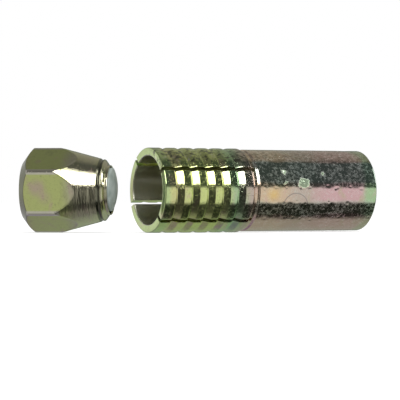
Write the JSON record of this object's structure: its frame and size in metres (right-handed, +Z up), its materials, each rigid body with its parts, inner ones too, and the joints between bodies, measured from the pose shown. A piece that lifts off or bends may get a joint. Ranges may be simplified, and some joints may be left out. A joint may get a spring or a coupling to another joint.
{
  "type": "wall anchor",
  "caption": "Steel expansion anchor: a ribbed, slotted sleeve whose fingers are spread by a threaded hexagon cone nut drawn into its mouth, with a small domed dust plug in the nut.",
  "frame": {"origin": "on the surface it lies on, under the middle of the whole laid-out row", "axes": "+X along the sleeve from its open mouth to its plain wall end, +Z up; the loose nut lies off the mouth, its line turned 34.7 degrees towards +Y"},
  "size_m": [0.0686, 0.024, 0.016],
  "materials": {
    "yellow_zinc_steel": "yellow passivated zinc plating, semi-bright, iridescent",
    "plug_plastic": "pale grey-green, smooth"
  },
  "bodies": {
    "sleeve": {"sleeve_tube": "yellow_zinc_steel"},
    "plug": {"bore_plug": "plug_plastic"},
    "nut": {"cone_nut": "yellow_zinc_steel"},
    "finger_front": {"finger_front": "yellow_zinc_steel"},
    "finger_bottom": {"finger_bottom": "yellow_zinc_steel"},
    "finger_back": {"finger_back": "yellow_zinc_steel"},
    "finger_top": {"finger_top": "yellow_zinc_steel"}
  },
  "joints": [
    {"name": "nut_and_plug_swing", "type": "hinge", "parent": "sleeve", "child": "plug", "pos_m": [-0.00985, 0.01345, 0.00798], "axis": [0, 0, 1], "range_deg": [0, 34.7]},
    {"name": "cone_nut_draw", "type": "slide", "parent": "plug", "child": "nut", "axis": [0.8221, -0.5693, 0], "range_m": [0, 0.005]},
    {"name": "finger_front_spread", "type": "hinge", "parent": "sleeve", "child": "finger_front", "pos_m": [0.00801, -0.01061, 0.00709], "axis": [0, -0.1349, 0.9909], "range_deg": [0, 4.62]},
    {"name": "finger_bottom_spread", "type": "hinge", "parent": "sleeve", "child": "finger_bottom", "pos_m": [0.00801, -0.00269, 0.00208], "axis": [0, -0.9744, -0.225], "range_deg": [0, 5.84]},
    {"name": "finger_back_spread", "type": "hinge", "parent": "sleeve", "child": "finger_back", "pos_m": [0.00801, 0.00244, 0.00966], "axis": [0, 0.2504, -0.9681], "range_deg": [0, 4.47]},
    {"name": "finger_top_spread", "type": "hinge", "parent": "sleeve", "child": "finger_top", "pos_m": [0.00801, -0.00506, 0.01419], "axis": [0, 0.987, 0.1607], "range_deg": [0, 5.29]}
  ],
  "couplings": [
    {"joint": "finger_front_spread", "follows": "cone_nut_draw", "rad_per_m": 16.102},
    {"joint": "finger_bottom_spread", "follows": "cone_nut_draw", "rad_per_m": 20.346},
    {"joint": "finger_back_spread", "follows": "cone_nut_draw", "rad_per_m": 15.576},
    {"joint": "finger_top_spread", "follows": "cone_nut_draw", "rad_per_m": 18.446}
  ]
}
